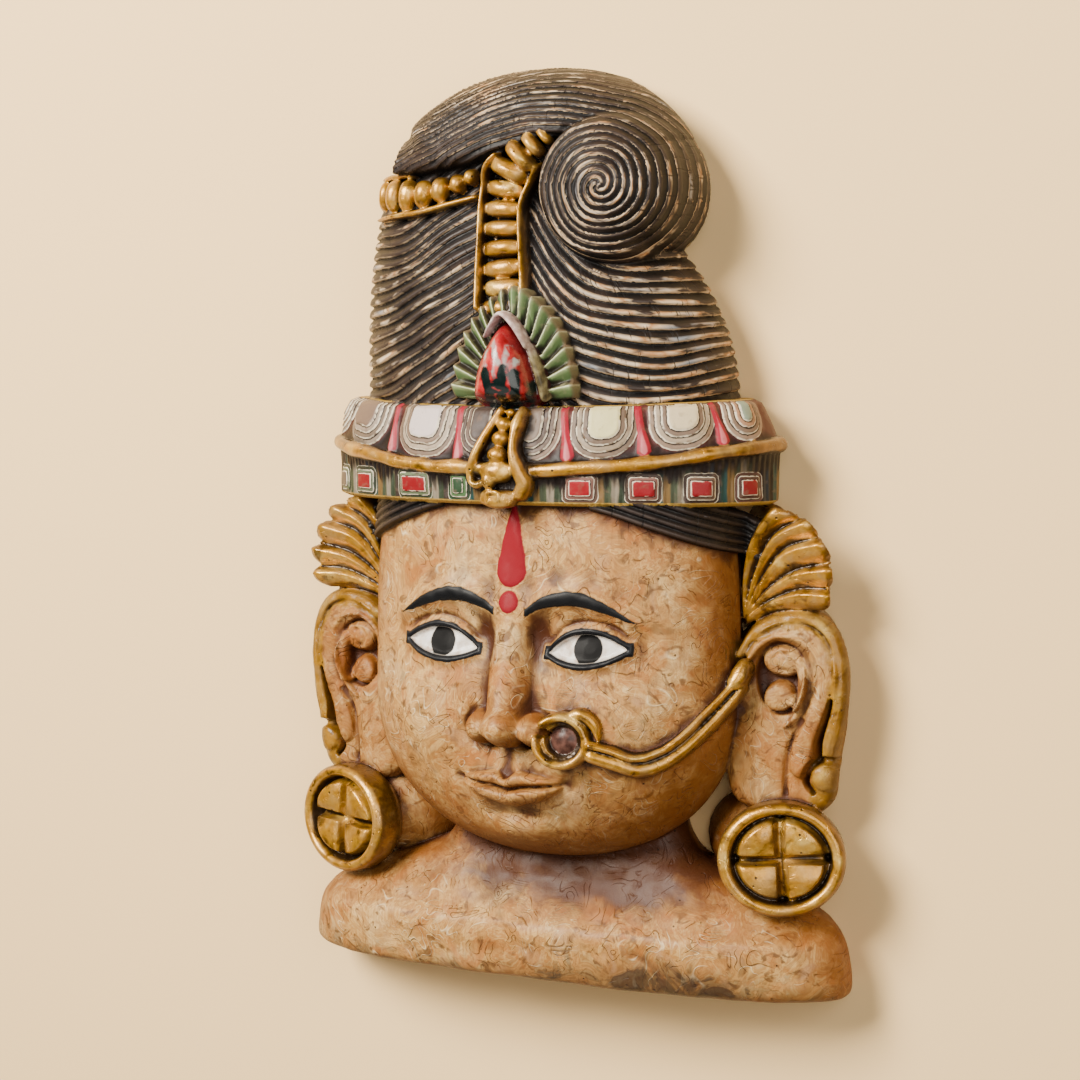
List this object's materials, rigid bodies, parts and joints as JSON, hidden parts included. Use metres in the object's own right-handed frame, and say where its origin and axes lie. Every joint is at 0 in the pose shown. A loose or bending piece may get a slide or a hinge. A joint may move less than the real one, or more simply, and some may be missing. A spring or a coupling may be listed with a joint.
{
  "type": "carved wooden wall mask",
  "caption": "Carved and painted wooden mask of a crowned goddess head on a low bust, with a coiled hair bun, ear ornaments and a flat back.",
  "frame": {"origin": "middle of the flat back, at the centre of the part's outline", "axes": "+X to the viewer's right of the face, +Y from the base of the bust to the top of the hair, +Z out of the face"},
  "size_m": [0.4074, 0.6096, 0.1423],
  "materials": {
    "painted_wood": "tan hand-carved wood with distressed antique paint in dark brown, ochre gold, red and green, under a satin varnish"
  },
  "bodies": {
    "root": {"mask": "painted_wood"}
  },
  "joints": []
}
